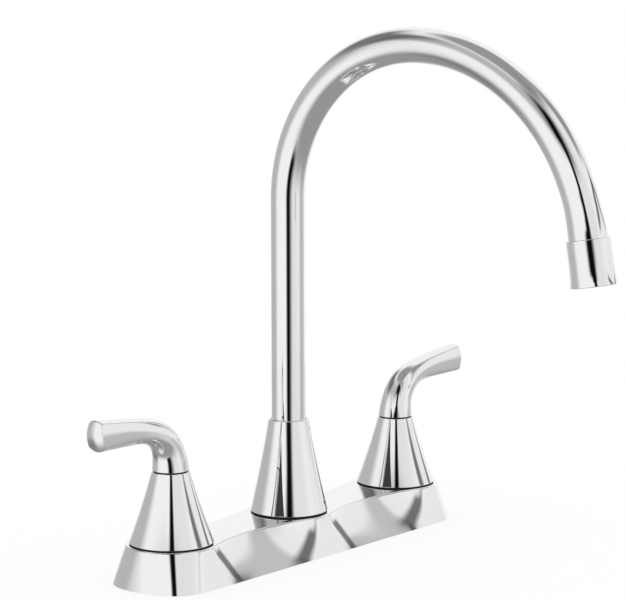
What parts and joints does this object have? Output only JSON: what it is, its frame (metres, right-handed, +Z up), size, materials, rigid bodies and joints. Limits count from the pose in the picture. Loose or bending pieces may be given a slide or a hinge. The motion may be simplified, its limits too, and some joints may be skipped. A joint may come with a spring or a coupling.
{
  "type": "two handle kitchen faucet",
  "caption": "Deck-mounted kitchen faucet with lever handles on cone pedestals, a long hollow deck plate and a high swivelling gooseneck spout with an aerator.",
  "frame": {"origin": "on the spout's swivel axis, in the plane of the deck plate's underside", "axes": "+Z up; the spout and the user's side are at -Y; the hot handle is at -X and the cold handle at +X"},
  "size_m": [0.3234, 0.2503, 0.3546],
  "materials": {
    "chrome": "polished",
    "brass": "machined",
    "copper": "drawn copper",
    "steel": "plain stainless",
    "rubber": "matte black",
    "nylon": "moulded",
    "white_plastic": "moulded",
    "ceramic": "lapped"
  },
  "bodies": {
    "base": {"deck_plate": "chrome", "deck_gasket": "rubber", "hot_pedestal": "chrome", "hot_pedestal_seal": "rubber", "hot_valve_body": "brass", "hot_shank_washer": "steel", "hot_lock_nut": "white_plastic", "hot_seat_seal": "rubber", "hot_fixed_disc": "ceramic", "hot_cartridge_shell": "brass", "hot_bonnet_nut": "brass", "hot_glide_ring": "nylon", "hot_crossover_tube": "copper", "cold_pedestal": "chrome", "cold_pedestal_seal": "rubber", "cold_valve_body": "brass", "cold_shank_washer": "steel", "cold_lock_nut": "white_plastic", "cold_seat_seal": "rubber", "cold_fixed_disc": "ceramic", "cold_cartridge_shell": "brass", "cold_bonnet_nut": "brass", "cold_glide_ring": "nylon", "cold_crossover_tube": "copper", "spout_hub": "brass", "spout_pedestal": "chrome", "spout_pedestal_seal": "rubber", "spout_wear_ring": "nylon", "spout_snap_ring": "steel"},
    "hot_handle": {"hot_lever": "chrome", "hot_set_screw": "steel", "hot_stem": "brass", "hot_stem_o_ring": "rubber", "hot_moving_disc": "ceramic"},
    "cold_handle": {"cold_lever": "chrome", "cold_set_screw": "steel", "cold_stem": "brass", "cold_stem_o_ring": "rubber", "cold_moving_disc": "ceramic"},
    "spout": {"spout_tube": "chrome", "spout_adapter": "brass", "spout_o_ring_lower": "rubber", "spout_o_ring_upper": "rubber", "aerator_housing": "chrome", "aerator_washer": "rubber", "aerator_screen": "steel", "aerator_insert": "white_plastic"}
  },
  "joints": [
    {"name": "hot_handle_turn", "type": "hinge", "parent": "base", "child": "hot_handle", "pos_m": [-0.1016, 0, 0.06], "axis": [0, 0, 1], "range_deg": [0, 90]},
    {"name": "cold_handle_turn", "type": "hinge", "parent": "base", "child": "cold_handle", "pos_m": [0.1016, 0, 0.06], "axis": [0, 0, -1], "range_deg": [0, 90]},
    {"name": "spout_swivel", "type": "hinge", "parent": "base", "child": "spout", "pos_m": [0, 0, 0], "axis": [0, 0, 1], "continuous": true}
  ]
}
